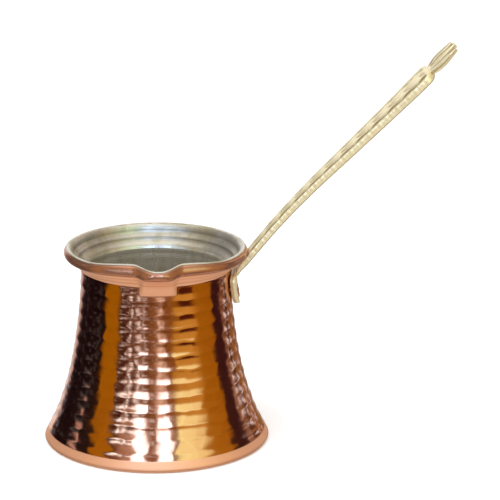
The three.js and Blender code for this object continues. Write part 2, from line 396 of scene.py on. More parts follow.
def copper_pot_rings(sizes):
    """The whole copper shell as rings, with its attributes.

    The outline runs from the middle of the underside over the foot band, up the hammered
    wall, out along the flare, over the lip and down the inside to the floor. Along the
    outline's normal, the marks go in, the ridges between them stand slightly proud, and two
    sines round the pot, of three and five waves, make it slightly uneven. A sine along the
    outline turns rings into the flare.
    """
    angles = angles_round(sizes.around)
    under = np.stack([np.array([2, 12, 24, 36, 43, BASE_R - 1.5]), np.zeros(6)], axis=1)
    edge = smooth_line([(BASE_R - 1.5, 0), (BASE_R - 0.5, 0.35), (BASE_R, 1.2)], 0.4)
    band = np.linspace((BASE_R, 1.2), (BASE_R - 1.45, FOOT_TOP_Z - 0.1), 7)
    wall = body_line(sizes.mark_step)
    flare = smooth_line([(NECK_R, CREASE_Z), (33.9, 77.1), (RIM_R - 1.9, CREASE_Z + 4.7)], 0.4)
    lip = lip_line(0.5)
    inside = inner_line(HIDDEN_STEP)[::-1]
    parts = [under, edge[1:-1], band, wall, flare[1:-1], lip, inside[1:-1]]
    line = np.vstack(parts)
    starts = np.cumsum([0] + [len(part) for part in parts])
    on_wall = slice(starts[3], starts[4])

    run = wall_run(wall)
    depth, ridge = hammer_marks(sizes, run, angles, sizes.mark_round_up, sizes.mark_round_across)
    away = np.abs(np.degrees(angles))[None, :]
    height = wall[:, 1:]
    over_foot = smoothstep(height, SPOUT_FOOT_Z - 0.2, SPOUT_FOOT_Z + 0.6)
    patch = (1 - smoothstep(away, 12.5, 15.0)) * over_foot
    ends = smoothstep(run, 0, 1.2)[:, None] * smoothstep(run[-1] - run, 0, 1.2)[:, None]
    fade = ends * (1 - patch)
    full = sizes.mark_round_up * (sizes.mark_pitch / 2) ** 2
    full = full + sizes.mark_round_across * (sizes.mark_pitch / 2) ** 2
    uneven = 0.10 * np.sin(3 * angles + 0.8) + 0.07 * np.sin(5 * angles + 2.1)
    uneven = uneven[None, :] * np.sin(math.pi * run / run[-1])[:, None]

    proud = np.zeros((len(line), len(angles)))
    proud[on_wall] = (depth - full + RIDGE_PROUD) * fade + uneven
    along = wall_run(line)
    on_flare = slice(starts[4], starts[5])
    rings = np.sin(along[on_flare, None] * (2 * math.pi / FLARE_RING_PITCH))
    proud[on_flare] = FLARE_RING_HEIGHT * rings
    turned_zone = np.ones_like(proud)
    turned_zone[on_wall] = 1 - (1 - patch) * smoothstep(run, 0.0, 0.5)[:, None]
    edges = np.zeros_like(proud)
    edges[on_wall] = ridge * fade
    lip_zone = np.zeros_like(proud)
    lip_zone[starts[5] : starts[6]] = 1
    band_start, crease, lip_start = along[starts[2]], along[starts[4]], along[starts[5]]
    # painted shade: dark lines under the lip, two on the flare and one at the foot band's lower edge
    corners = [
        (1.0, lip_start, 0.5),
        (0.45, crease + 1.7, 0.30),
        (0.45, crease + 3.9, 0.30),
        (0.5, band_start, 0.5),
    ]
    dirt = bells(along, corners)
    attributes = {
        "dirt": np.repeat(dirt[:, None], len(angles), axis=1),
        "turned": turned_zone,
        "ridge": edges,
        "lip": lip_zone,
        "run": np.repeat(along[:, None], len(angles), axis=1),
    }
    return turned(line, angles, proud), attributes


def tin_coat_rings(sizes):
    """The tin coat as rings: up the inside, over the lip's top and back down behind.

    The seen face has turned rings on the flare and the softened backs of the hammer marks,
    and a groove attribute for the painted dark rings of shade. The hidden back has fewer rings.
    """
    angles = angles_round(sizes.tin_around)
    face = inner_line(0.9)
    z = face[:, 1]
    wall = body_line(1.0)
    run = np.interp(z, wall[:, 1], wall_run(wall))
    marks, _ = hammer_marks(sizes, run, angles, 0.012, 0.008)
    on_wall = smoothstep(z, 6, 12) * (1 - smoothstep(z, 70, 73))
    # groove marks the painted dark rings of shade on the flare
    rings, groove = bells(z, TIN_RINGS), bells(z, TIN_RING_SHADES)
    relief = rings[:, None] + on_wall[:, None] * (marks.max() - marks)
    over = lip_line(0.35)[::-1]
    over = over[over[:, 1] > RIM_TOP_Z - 0.32][1:]
    front = turned(face, angles, -(TIN_GAP + TIN) - relief)
    top = turned(over, angles, np.full((len(over), len(angles)), -0.26))
    under = turned(over[::-1], angles, np.full((len(over), len(angles)), 0.06))
    behind = inner_line(HIDDEN_STEP)[::-1]
    back = turned(behind, angles, np.full((len(behind), len(angles)), TIN_GAP))
    stack = np.concatenate([front, top, under, back])
    run = np.pad(wall_run(face), (0, len(stack) - len(face)))
    groove = np.pad(groove, (0, len(stack) - len(face)))
    attributes = {
        "run": np.repeat(run[:, None], len(angles), axis=1),
        "groove": np.repeat(groove[:, None], len(angles), axis=1),
    }
    return stack, attributes


# ---- the handle's shape -------------------------------------------------------------


def section(half_width, half_thick, corner, across, sides):
    """Rings of a bar with rounded corners, as places across and up from its middle.

    The ring starts at the near edge of the top face and goes round over the far edge, the
    bottom and the near edge. It also gives how much of each place belongs to the top face.
    """
    a = np.linspace(-1, 1, across)
    side = np.linspace(1, -1, sides + 2)[1:-1]
    turn = np.linspace(0, math.pi / 2, 5)[1:-1]
    one = np.ones
    unit_a = np.concatenate([a, one(3), one(sides), one(3), -a, -one(3), -one(sides), -one(3)])
    unit_b = np.concatenate(
        [one(across), one(3), side, -one(3), -one(across), -one(3), -side, one(3)]
    )
    zero_a, zero_s = np.zeros(across), np.zeros(sides)
    sine, cosine = np.sin(turn), np.cos(turn)
    corner_a = np.concatenate(
        [zero_a, sine, one(sides), cosine, zero_a, -sine, -one(sides), -cosine]
    )
    corner_b = np.concatenate(
        [one(across), cosine, zero_s, -sine, -one(across), -cosine, zero_s, sine]
    )
    rest = np.zeros(across + 2 * sides + 6)
    top = np.concatenate([one(across), 0.5 * cosine, rest, 0.5 * sine])
    corner = np.minimum(corner, np.minimum(half_width, half_thick) * 0.9)[:, None]
    across_mm = unit_a * (half_width[:, None] - corner) + corner_a * corner
    up_mm = unit_b * (half_thick[:, None] - corner) + corner_b * corner
    return across_mm, up_mm, top


def rise_of(line):
    """How far points of the strap's line are along its 45 degree rise."""
    return (line - np.array(PLAN_START)).sum(axis=1) / math.sqrt(2)


def strap_width(rise):
    """Half the strap's width: it slowly widens to round shoulders, then draws in to a waist."""
    width = np.interp(rise, [4, 33, 57, 74, 91, 104], [4.6, 5.1, 6.4, 7.6, 8.6, 9.8])
    past = np.clip((rise - (SHOULDER_AT - 4.0)) / (WAIST_AT - 0.6 - SHOULDER_AT + 4.0), 0, 1)
    return 2.4 + (width - 2.4) * np.sqrt(1 - past**4)


def leaf_relief(rise, across, width, pitch):
    """Relief of the strap's top face, in mm, and how much painted shade each place gets.

    Pairs of leaves point up the strap. A leaf's edge is a V across the strap, one pitch
    from the next, and its face rises as half a sine from the V to the next one. A vein
    runs up the middle. Each border is a low bead with a groove beside it, which is wide
    under a leaf's shoulder and narrow at its tip. Shade is painted in the groove, the V
    between two leaves and a dark rim along the very edge.
    """
    share = np.abs(across) / width
    place = rise / pitch - share * 1.1
    leaf = np.abs(np.sin(math.pi * place)) ** 0.55
    field = 1 - smoothstep(share, 0.62, 0.72)
    vein = bell(share, 0.0, 0.09)
    bead = bell(share, 0.93, 0.09) * (0.8 + 0.2 * np.sin(2 * math.pi * place))
    swing = 0.5 + 0.5 * np.sin(2 * math.pi * rise / pitch)
    groove = bell(share, 0.72 - 0.12 * swing, 0.08 + 0.13 * swing)
    height = 0.50 * leaf * field + 0.25 * vein + 0.30 * bead - 0.25 * groove
    worked = smoothstep(rise, -1.0, 6.0) * (1 - smoothstep(rise, SHOULDER_AT - 1, SHOULDER_AT + 1))
    # painted shade: the groove, the V between two leaves and a dark rim along the very edge
    rim = bell(share, 1.0, 0.05) * 0.6
    hollow = np.maximum(np.maximum(groove, rim), field * (1 - leaf) ** 2 * 1.2)
    return height * worked, np.clip(hollow * worked, 0, 1)


def along_strap(line, across, up):
    """Places beside a line in the XZ plane: across goes along Y, up along the line's left."""
    lift = -sideways(line)
    x = line[:, :1] + lift[:, :1] * up
    z = line[:, 1:] + lift[:, 1:] * up
    return np.stack([x, across, z], axis=-1)


def strap_rings(sizes):
    """The strap as rings of a rounded bar, with the leaf relief on its top face."""
    line = smooth_line(STRAP_LINE, sizes.strap_step)
    rise = rise_of(line)
    line, rise = line[rise < STRAP_END], rise[rise < STRAP_END]
    width = strap_width(rise)
    thick = np.interp(rise, [-5, 1, STRAP_END], [1.2, 2.7, 3.4]) / 2
    across, up, top = section(width, thick, 0.7, 49, 9)
    height, hollow = leaf_relief(rise[:, None], across, width[:, None], sizes.leaf_pitch)
    # painted shade along the strap's underside edge
    underside_shade = bell(up, -thick[:, None], 0.7) * (1 - top)
    wobble = 0.06 * np.sin(rise * 1.9) + 0.05 * np.sin(rise * 3.1 + 1)
    across = across + np.sign(across) * wobble[:, None] * np.abs(across) / width[:, None]
    up = up + (height - 0.25) * top
    return along_strap(line, across, up), {"hollow": np.maximum(hollow * top, underside_shade * 1.1)}


def plate_rings():
    """The plate as rings of a rounded bar that runs up the neck and is wrapped round it.

    Across is an arc of the neck's circle, and up is the distance out from it.
    """
    outline = [
        (58.6, 0.3),
        (58.8, 2.8),
        (59.6, 5.0),
        (61.3, 7.0),
        (64.6, 8.6),
        (67.8, 9.5),
        (70.0, 9.8),
        (71.6, 8.8),
        (72.4, 6.6),
        (PLATE_TOP_Z, 3.0),
        (PLATE_TOP_Z + 0.05, 0.3),
    ]
    outline = smooth_line(outline, 0.3)
    height, width = outline[:, 0], np.maximum(outline[:, 1], 0.1)
    thick = np.full(len(width), PLATE_THICK / 2)
    across, up, top = section(width, thick, 0.8, 41, 5)
    share = np.abs(across) / width[:, None]
    edge = np.minimum(width, 4)[:, None] * (1 - share)
    bead = 0.35 * bell(edge, 0.7, 0.5)
    up = up + bead * top
    neck = np.interp(height, [PLATE_LOW_Z, 63, 70.5, PLATE_TOP_Z], [32.3, 31.75, 31.35, NECK_R])
    r = neck[:, None] + PLATE_GAP + PLATE_THICK / 2 + up
    angle = across / neck[:, None]
    z = np.repeat(height[:, None], across.shape[1], axis=1)
    # painted shade: dark beside the bead along the top face's border, and on the plate's sides
    hollow = np.clip(1 - np.abs(edge - 0.7) / 1.2, 0, 1) * (1 - bead / 0.35) * top
    hollow = np.maximum(hollow, 0.72 * bell(up, 0.0, 0.9) * (1 - top))
    return np.stack([r * np.cos(angle), r * np.sin(angle), z], axis=-1), {"hollow": hollow}


def petal_rings(course, width, thick, cup):
    """A petal as rings of a flattened tube along a course of (rise, across) points.

    The tube swells to its full width two fifths of the way along and draws in to a point.
    Its section is an ellipse that is cupped, so its edges stand above its middle. Shade is
    painted in the middle of its top face and along its two edges.
    """
    line = smooth_line(course, 0.22)
    t = np.linspace(0, 1, len(line))
    swell = np.sin(math.pi * t**0.72) ** 0.7 * 0.92 + 0.10
    side = sideways(line)
    ring = np.arange(28) / 28 * 2 * math.pi
    out = np.cos(ring)[None, :] * (width * swell)[:, None]
    up = np.sin(ring)[None, :] * (thick * (0.55 + 0.45 * np.sin(math.pi * t)))[:, None]
    up = up + cup * (np.cos(ring)[None, :] ** 2) * swell[:, None] + 0.5 * t[:, None] ** 2
    rise = line[:, :1] + side[:, :1] * out
    across = line[:, 1:] + side[:, 1:] * out
    middle = smooth_line(STRAP_LINE, 1.0)
    places = rise_of(middle)
    x = np.interp(rise, places, middle[:, 0])
    z = np.interp(rise, places, middle[:, 1])
    slant = math.sqrt(0.5)
    # painted shade in the middle of the top face and along both edges
    hollow = np.clip(np.sin(ring), 0, 1)[None, :] * np.clip(1 - np.abs(out) / width, 0, 1)
    hollow = np.maximum(hollow, np.clip(np.abs(np.cos(ring)) * 3 - 2.15, 0, 1)[None, :])
    return np.stack([x - up * slant, across, z + up * slant], axis=-1), {"hollow": hollow}


def tulip_petals():
    """The courses, widths and thicknesses of the tulip's middle and side petals."""
    outer = [
        (WAIST_AT - 1.5, 0.8),
        (WAIST_AT + 0.8, 3.6),
        (WAIST_AT + 3.6, 5.6),
        (WAIST_AT + 8.0, 6.0),
        (FINIAL_TIP - 0.8, 6.6),
    ]
    middle = [(WAIST_AT - 2, 0.0), (WAIST_AT + 4, 0.0), (WAIST_AT + 9, 0.0), (FINIAL_TIP, 0.0)]
    yield middle, 3.0, 1.9, 0.5
    yield outer, 2.9, 1.5, 0.5
    yield [(rise, -across) for rise, across in outer], 2.9, 1.5, 0.5


# ---- rivets -------------------------------------------------------------------------


def rivet_rings(height, across, seed):
    """A rivet as rings turned about its own axis, which points out from the neck.

    The profile is the inner dome, the shank and the peened outer dome. The outer dome is
    the lower of the dome and a few slanted planes, which are the flats left by the hammer.
    """
    chance = np.random.default_rng(seed)
    shank, head, rise = 1.3, 2.25, 0.75
    inside = -(WALL + TIN_GAP + TIN + 0.02)
    outside = PLATE_GAP + PLATE_THICK + 0.05
    dome = np.linspace(0, math.pi / 2, 12)
    inner = np.stack([head * np.sin(dome), inside - rise * 0.9 * np.cos(dome)], axis=1)
    bar = np.array([(shank, inside), (shank, 0.0), (shank, outside - 0.02)])
    outer = np.stack([head * np.cos(dome), outside + rise * np.sin(dome)], axis=1)
    profile = np.vstack([inner, bar, outer])
    turn = np.arange(48) / 48 * 2 * math.pi
    r = profile[:, :1] * (1 + 0.03 * np.sin(2 * turn + seed) + 0.02 * np.sin(5 * turn))
    out = np.repeat(profile[:, 1:], len(turn), axis=1)
    y, z = r * np.sin(turn), r * np.cos(turn)
    for _ in range(6):
        way = chance.uniform(0, 2 * math.pi)
        tilt = chance.uniform(0.15, 0.42)
        level = outside + rise * chance.uniform(0.93, 1.05)
        flat = level - tilt * (y * math.cos(way) + z * math.sin(way))
        flat = np.maximum(flat, outside + 0.08)
        out = np.where(out > outside, np.minimum(out, flat), out)
    wall = np.interp(height, [63, 70.5], [31.75, 31.35])
    angle = math.asin(across / wall)
    x = wall + out
    turned_x = x * math.cos(angle) - y * math.sin(angle)
    turned_y = x * math.sin(angle) + y * math.cos(angle)
    return np.stack([turned_x, turned_y, height + z], axis=-1)


# ---- materials ----------------------------------------------------------------------


class Wire:
    """A node's output that takes part in arithmetic: each operation adds a Math node."""

    def __init__(self, shader, socket):
        self.shader = shader
        self.socket = socket

    def __add__(self, other):
        return self.shader.math("ADD", self, other)

    __radd__ = __add__

    def __sub__(self, other):
        return self.shader.math("SUBTRACT", self, other)

    def __rsub__(self, other):
        return self.shader.math("SUBTRACT", other, self)

    def __mul__(self, other):
        return self.shader.math("MULTIPLY", self, other)

    __rmul__ = __mul__

    def __truediv__(self, other):
        return self.shader.math("DIVIDE", self, other)


class Shader:
    """A node tree, and the few ways in which this file adds nodes to it."""

    def __init__(self, tree):
        self.tree = tree
        tree.nodes.clear()

    def add(self, kind, settings=None, sockets=None, output=0):
        """Adds a node, sets its settings, then its sockets, and gives one of its outputs."""
        node = self.tree.nodes.new(kind)
        for key, value in (settings or {}).items():
            if key == "stops":
                self.set_stops(node.color_ramp, value)
            else:
                setattr(node, key, value)
        for key, value in (sockets or {}).items():
            named = [x for x in node.inputs if x.identifier == key] or [node.inputs[key]]
            if isinstance(value, Wire):
                self.tree.links.new(value.socket, named[0])
            else:
                named[0].default_value = value
        outputs = [x for x in node.outputs if x.identifier == output]
        return Wire(self, (outputs or [node.outputs[output]])[0]) if node.outputs else node

    def set_stops(self, ramp, stops):
        """Fills a colour ramp from (place, colour) pairs in rising order."""
        for _ in range(len(stops) - 2):
            ramp.elements.new(0.5)
        for element, (place, colour) in zip(ramp.elements, stops):
            element.position = place
            element.color = (*colour[:3], 1)

    def math(self, operation, *values):
        """A Math node on one, two or three values."""
        names = ("Value", "Value_001", "Value_002")
        return self.add("ShaderNodeMath", {"operation": operation}, dict(zip(names, values)))

    def step(self, value, low, high):
        """0 to 1 as a value goes from low to high, with a soft start and end."""
        ends = {"Value": value, "From Min": low, "From Max": high}
        return self.add("ShaderNodeMapRange", {"interpolation_type": "SMOOTHSTEP"}, ends)

    def mix(self, share, first, second):
        """The first colour at share 0 and the second at 1."""
        sockets = {"Factor_Float": share, "A_Color": first, "B_Color": second}
        return self.add("ShaderNodeMix", {"data_type": "RGBA"}, sockets, "Result_Color")

    def place(self, stretch=(1, 1, 1)):
        """Object coordinates, stretched along each axis."""
        here = self.add("ShaderNodeTexCoord", output="Object")
        return self.add("ShaderNodeMapping", {}, {"Vector": here, "Scale": stretch})

    def noise(self, size, detail=3.0, roughness=0.5, stretch=(1, 1, 1)):
        """Noise with features about size metres across."""
        sockets = {
            "Vector": self.place(stretch),
            "Scale": 1 / size,
            "Detail": detail,
            "Roughness": roughness,
        }
        return self.add("ShaderNodeTexNoise", {}, sockets, "Fac")

    def attribute(self, name):
        """A number that the mesh carries at each of its points."""
        return self.add("ShaderNodeAttribute", {"attribute_name": name}, output="Fac")

    def surface(self, sockets, height, depth):
        """The metal's surface: a Principled shader with a bump of so many metres."""
        relief = {"Height": height, "Distance": depth, "Strength": 1.0}
        bump = self.add("ShaderNodeBump", {}, relief)
        shader = self.add("ShaderNodeBsdfPrincipled", {}, {**sockets, "Normal": bump})
        self.add("ShaderNodeOutputMaterial", {}, {"Surface": shader})


def material(name):
    """A new node material and the shader that fills it."""
    made = bpy.data.materials.new(name)
    made.use_nodes = True
    return made, Shader(made.node_tree)


def colour(value):
    """A colour property as the four numbers of a colour socket."""
    return (*value, 1.0)


def copper_finish(colours):
    """Polished hammered copper, brushed and paler where it was turned on the lathe."""
    made, s = material("hammered_copper")
    turned_zone, ridge, run, lip, dirt = (
        s.attribute(x) for x in ("turned", "ridge", "run", "lip", "dirt")
    )
    patina = s.step(s.noise(0.020, 4.0, 0.6), 0.46, 0.74)
    breath = s.noise(0.0035, 3.0, 0.6)
    grain = s.noise(0.00045, 2.0)
    scratch = s.noise(0.0011, 2.0, 0.5, (1, 1, 9))
    base = s.mix(patina * 0.35, colour(colours.copper), colour(colours.copper_dark))
    base = s.mix(ridge * 0.25, base, colour(colours.copper_bright))
    brushed = s.mix(s.step(scratch, 0.35, 0.75) * 0.4, colour(colours.copper_turned), base)
    base = s.mix(turned_zone, base, brushed)
    # painted reflection: the lip is coloured darker brown for the dark surroundings it mirrors
    base = s.mix(lip * (0.75 + patina * 0.25), base, colour(colours.copper_lip_shade))
    # painted shade in the creases: under the lip, two lines on the flare and the foot band's lower
    # edge
    base = s.mix(dirt * 0.85, base, colour(colours.copper_crease_shade))
    coarse = s.math("SINE", run * (2 * math.pi / 0.62))
    fine = s.math("SINE", run * (2 * math.pi / 0.27))
    lines = coarse * 0.5 + fine * 0.25
    rough = 0.085 + patina * 0.05 + breath * 0.05
    rough = rough + turned_zone * (0.30 - lip * 0.20) + turned_zone * (1 - lip) * scratch * 0.12
    metal = 1 - turned_zone * (1 - lip * 0.6) * 0.45
    height = turned_zone * (1 - lip) * lines * 0.7 + (1 - turned_zone) * (breath * 1.2 + grain * 0.3)
    s.surface({"Base Color": base, "Roughness": rough, "Metallic": metal}, height, 0.00002)
    return made


def tin_finish(colours):
    """Wiped tin: satin grey with olive stains, fine turned rings, wiping streaks and painted dark
    rings of shade.
    """
    made, s = material("wiped_tin")
    run, groove = s.attribute("run"), s.attribute("groove")
    stain = s.step(s.noise(0.011, 4.0, 0.65, (1, 1, 0.6)), 0.44, 0.64)
    streak = s.noise(0.0040, 3.0, 0.6, (1, 1, 0.22))
    grain = s.noise(0.0006, 2.0)
    base = s.mix(stain * 0.7, colour(colours.tin), colour(colours.tin_stain))
    base = s.mix(s.step(streak, 0.50, 0.75) * 0.3, base, colour(colours.tin_bright))
    # painted shade: dark rings on the flare, from the groove attribute
    base = s.mix(groove * (0.55 + streak * 0.5), base, colour(colours.tin_ring_shade))
    lines = s.math("SINE", run * (2 * math.pi / 0.8))
    rough = 0.22 + stain * 0.10 + streak * 0.14
    height = lines * 0.35 + streak * 1.2 + grain * 0.25
    s.surface({"Base Color": base, "Roughness": rough, "Metallic": 0.75}, height, 0.00004)
    return made


def brass_finish(colours):
    """Cast yellow brass, rubbed paler in clouds, with painted olive brown shade in the hollows, along
    the edges and underneath, and sand grain.
    """
    made, s = material("cast_brass")
    hollow = s.attribute("hollow")
    cloud = s.step(s.noise(0.009, 4.0, 0.6), 0.40, 0.70)
    sand = s.noise(0.0007, 4.0, 0.7)
    base = s.mix(cloud * 0.35, colour(colours.brass), colour(colours.brass_worn))
    # painted shade: olive brown in the hollows, along the edges and underneath, broken up by the sand
    # grain
    dirt = s.step(hollow + (sand - 0.5) * 0.6, 0.45, 0.95)
    base = s.mix(dirt * 0.85, base, colour(colours.brass_shade))
    rough = 0.30 + dirt * 0.25 + sand * 0.12
    sockets = {"Base Color": base, "Roughness": rough, "Metallic": 0.55}
    s.surface(sockets, sand + cloud * 0.3, 0.00010)
    return made


def rivet_finish(colours):
    """Peened copper, darker in cloudy patches."""
    made, s = material("peened_copper")
    cloud = s.step(s.noise(0.0016, 3.0, 0.6), 0.40, 0.72)
    grain = s.noise(0.0004, 3.0, 0.6)
    base = s.mix(cloud * 0.6, colour(colours.copper), colour(colours.copper_dark))
    sockets = {"Base Color": base, "Roughness": 0.22 + cloud * 0.15, "Metallic": 1.0}
    s.surface(sockets, grain + cloud, 0.00004)
    return made


# ---- the studio ---------------------------------------------------------------------

# What the metal mirrors, at three heights: (degrees round from the camera's side, colour)
LOW_BANDS = [
    (-180, (0.62, 0.56, 0.52)),
    (-156, (0.62, 0.56, 0.52)),
    (-148, (0.10, 0.05, 0.06)),
    (-142, (0.008, 0.004, 0.008)),
    (-86, (0.008, 0.004, 0.008)),
    (-81, (0.34, 0.19, 0.002)),
    (-61, (0.34, 0.19, 0.002)),
    (-57, (0.04, 0.015, 0.015)),
    (-46, (0.10, 0.05, 0.04)),
    (-30, (0.17, 0.10, 0.07)),
    (-12, (0.16, 0.08, 0.03)),
    (-3, (0.20, 0.11, 0.05)),
    (2, (0.45, 0.38, 0.34)),
    (6, (0.20, 0.11, 0.05)),
    (18, (0.22, 0.11, 0.02)),
    (31, (0.30, 0.17, 0.02)),
    (35, (0.07, 0.014, 0.008)),
    (55, (0.09, 0.020, 0.008)),
    (61, (0.36, 0.20, 0.01)),
    (88, (0.34, 0.18, 0.008)),
    (92, (0.04, 0.014, 0.02)),
    (108, (0.04, 0.014, 0.02)),
    (112, (0.24, 0.15, 0.11)),
    (122, (0.20, 0.11, 0.06)),
    (127, (0.05, 0.02, 0.02)),
    (134, (0.28, 0.15, 0.05)),
    (158, (0.30, 0.17, 0.09)),
    (170, (0.62, 0.56, 0.52)),
    (180, (0.62, 0.56, 0.52)),
]
MIDDLE_BANDS = [
    (-180, (1.00, 0.95, 0.90)),
    (-157, (1.00, 0.95, 0.90)),
    (-149, (0.12, 0.06, 0.08)),
    (-144, (0.008, 0.004, 0.008)),
    (-85, (0.008, 0.004, 0.008)),
    (-81, (0.36, 0.20, 0.002)),
    (-61, (0.36, 0.20, 0.002)),
    (-57, (0.03, 0.010, 0.010)),
    (-48, (0.14, 0.07, 0.05)),
    (-30, (0.22, 0.13, 0.09)),
    (-14, (0.20, 0.12, 0.06)),
    (-4, (0.26, 0.15, 0.07)),
    (1, (0.80, 0.80, 0.86)),
    (8, (0.56, 0.50, 0.46)),
    (13, (0.26, 0.15, 0.07)),
    (20, (0.28, 0.14, 0.04)),
    (28, (0.58, 0.42, 0.09)),
    (54, (0.60, 0.43, 0.09)),
    (64, (0.38, 0.21, 0.010)),
    (88, (0.36, 0.19, 0.008)),
    (92, (0.04, 0.014, 0.02)),
    (108, (0.04, 0.014, 0.02)),
    (112, (0.34, 0.24, 0.19)),
    (123, (0.26, 0.15, 0.08)),
    (128, (0.05, 0.02, 0.02)),
    (135, (0.34, 0.18, 0.05)),
    (160, (0.36, 0.22, 0.10)),
    (170, (1.00, 0.95, 0.90)),
    (180, (1.00, 0.95, 0.90)),
]
HIGH_BANDS = [
    (-180, (1.00, 0.96, 0.92)),
    (-157, (1.00, 0.96, 0.92)),
    (-149, (0.16, 0.09, 0.11)),
    (-144, (0.008, 0.004, 0.008)),
    (-108, (0.010, 0.005, 0.008)),
    (-103, (0.70, 0.60, 0.70)),
    (-98, (0.010, 0.005, 0.008)),
    (-83, (0.010, 0.005, 0.008)),
    (-79, (0.38, 0.21, 0.002)),
    (-60, (0.38, 0.21, 0.002)),
    (-56, (0.06, 0.03, 0.03)),
    (-46, (0.36, 0.26, 0.22)),
    (-33, (0.50, 0.44, 0.46)),
    (-29, (2.5, 3.6, 5.6)),
    (-16, (2.5, 3.6, 5.6)),
    (-13, (0.26, 0.16, 0.10)),
    (-1, (0.26, 0.16, 0.10)),
    (2, (2.5, 3.6, 5.6)),
    (14, (2.5, 3.6, 5.6)),
    (17, (0.24, 0.15, 0.09)),
    (22, (0.24, 0.15, 0.09)),
    (24, (1.10, 1.55, 1.05)),
    (54, (0.98, 1.20, 0.75)),
    (62, (0.42, 0.25, 0.02)),
    (88, (0.38, 0.21, 0.01)),
    (92, (0.035, 0.012, 0.016)),
    (112, (0.035, 0.012, 0.016)),
    (117, (0.50, 0.42, 0.42)),
    (135, (0.36, 0.20, 0.06)),
    (160, (0.48, 0.30, 0.13)),
    (170, (1.00, 0.96, 0.92)),
    (180, (1.00, 0.96, 0.92)),
]
# How strongly small bright and dark things show among the bands: (degrees round, share)
GLINTS = [
    (-180, 0.3),
    (-148, 0.15),
    (-138, 0.03),
    (-92, 0.03),
    (-86, 0.0),
    (-58, 0.0),
    (-53, 0.9),
    (-37, 0.85),
    (-30, 0.35),
    (-10, 0.25),
    (20, 0.15),
    (24, 0.0),
    (108, 0.0),
    (114, 0.45),
    (160, 0.25),
    (180, 0.3),
]


def band_ramp(s, turn, bands):
    """The mirrored colour as a ramp over the whole turn."""
    stops = [(degrees / 360 + 0.5, tint) for degrees, tint in bands]
    return s.add("ShaderNodeValToRGB", {"stops": stops}, {"Fac": turn}, "Color")


def studio_world(studio):
    """Soft white light all round, a white background, and the bands that the metal mirrors.

    The bands stand upright round the pot. They change with the height that a mirrored ray
    goes up or down to, and there is plain pale light straight above and below. Noise on the
    ray's direction, squat so that it lies level, puts small pale, bright and dark things
    among the bands, and makes the bands' edges wander.
    """
    world = bpy.data.worlds.new("studio")
    world.use_nodes = True
    bpy.context.scene.world = world
    s = Shader(world.node_tree)
    way = s.add("ShaderNodeTexCoord", output="Generated")
    x, y, z = (s.add("ShaderNodeSeparateXYZ", {}, {"Vector": way}, axis) for axis in "XYZ")
    turn = s.math("ARCTAN2", x, 0 - y) / (2 * math.pi) + 0.5
    rise = s.math("ARCSINE", z) * (180 / math.pi)
    squat = s.add("ShaderNodeCombineXYZ", {}, {"X": x, "Y": y, "Z": z * 0.4})
    flecks = s.add("ShaderNodeTexNoise", {}, {"Vector": squat, "Scale": 13.0, "Detail": 4.0}, "Fac")
    wander = (flecks - 0.5) * 0.010
    low, middle, high = (
        band_ramp(s, turn + wander, bands) for bands in (LOW_BANDS, MIDDLE_BANDS, HIGH_BANDS)
    )
    mirrored = s.mix(s.step(rise + flecks * 6, -12, -7), low, middle)
    mirrored = s.mix(s.step(rise + flecks * 6, 7, 13), mirrored, high)
    glints = band_ramp(s, turn, [(degrees, (share, share, share)) for degrees, share in GLINTS])
    below_lights = glints * s.step(rise, 30, 14)
    pale = s.step(flecks, 0.52, 0.58) * below_lights * 0.5
    mirrored = s.mix(pale, mirrored, (0.42, 0.34, 0.32, 1))
    sparks = below_lights * (s.step(rise, -24, -4) * 0.7 + 0.3)
    mirrored = s.mix(s.step(flecks, 0.575, 0.605) * sparks, mirrored, (1.80, 2.90, 4.40, 1))
    mirrored = s.mix(s.step(flecks, 0.48, 0.44) * below_lights, mirrored, (0.03, 0.008, 0.008, 1))
    mirrored = s.mix(s.step(rise, 47, 52), mirrored, (0.44, 0.42, 0.34, 1))
    mirrored = s.mix(s.step(rise, 60, 66), mirrored, (1.25, 1.25, 1.2, 1))
    mirrored = s.mix(s.step(rise, -42, -52), mirrored, (0.62, 0.60, 0.58, 1))
    light = s.add("ShaderNodeLightPath", output="Is Glossy Ray")
    seen = s.add("ShaderNodeLightPath", output="Is Camera Ray")
    fill = s.mix(light, (studio.fill, studio.fill, studio.fill, 1), mirrored)
    shown = s.mix(seen, fill, (1, 1, 1, 1))
    back = s.add("ShaderNodeBackground", {}, {"Color": shown, "Strength": 1.0})
    s.add("ShaderNodeOutputWorld", {}, {"Surface": back})


def studio_floor():
    """A pale floor, large enough to reach past the view, that the metal doesn't mirror."""
    half = 3.0
    corners = [(-half, -half, 0), (half, -half, 0), (half, half, 0), (-half, half, 0)]
    mesh = bpy.data.meshes.new("studio_floor")
    mesh.from_pydata(corners, [], [(0, 1, 2, 3)])
    floor = bpy.data.objects.new("studio_floor", mesh)
    bpy.context.scene.collection.objects.link(floor)
    made, s = material("pale_floor")
    grain = s.noise(0.02, 3.0)
    tint = s.mix(grain * 0.1, (0.93, 0.93, 0.93, 1), (0.90, 0.90, 0.90, 1))
    s.surface({"Base Color": tint, "Roughness": 0.9}, grain, 0.00001)
    mesh.materials.append(made)
    floor.visible_glossy = False


def soft_light(name, place, aim, size, power):
    """A large square light, turned to the point that it aims at."""
    data = bpy.data.lights.new(name, "AREA")
    data.shape = "SQUARE"
    data.size = size
    data.energy = power
    light = bpy.data.objects.new(name, data)
    towards = np.array(aim) - np.array(place)
    pitch = math.atan2(math.hypot(*towards[:2]), -towards[2])
    yaw = math.atan2(-towards[0], towards[1])
    turn = Matrix.Rotation(yaw, 4, "Z") @ Matrix.Rotation(pitch, 4, "X")
    light.matrix_world = Matrix.Translation(place) @ turn
    light.visible_glossy = False
    bpy.context.scene.collection.objects.link(light)


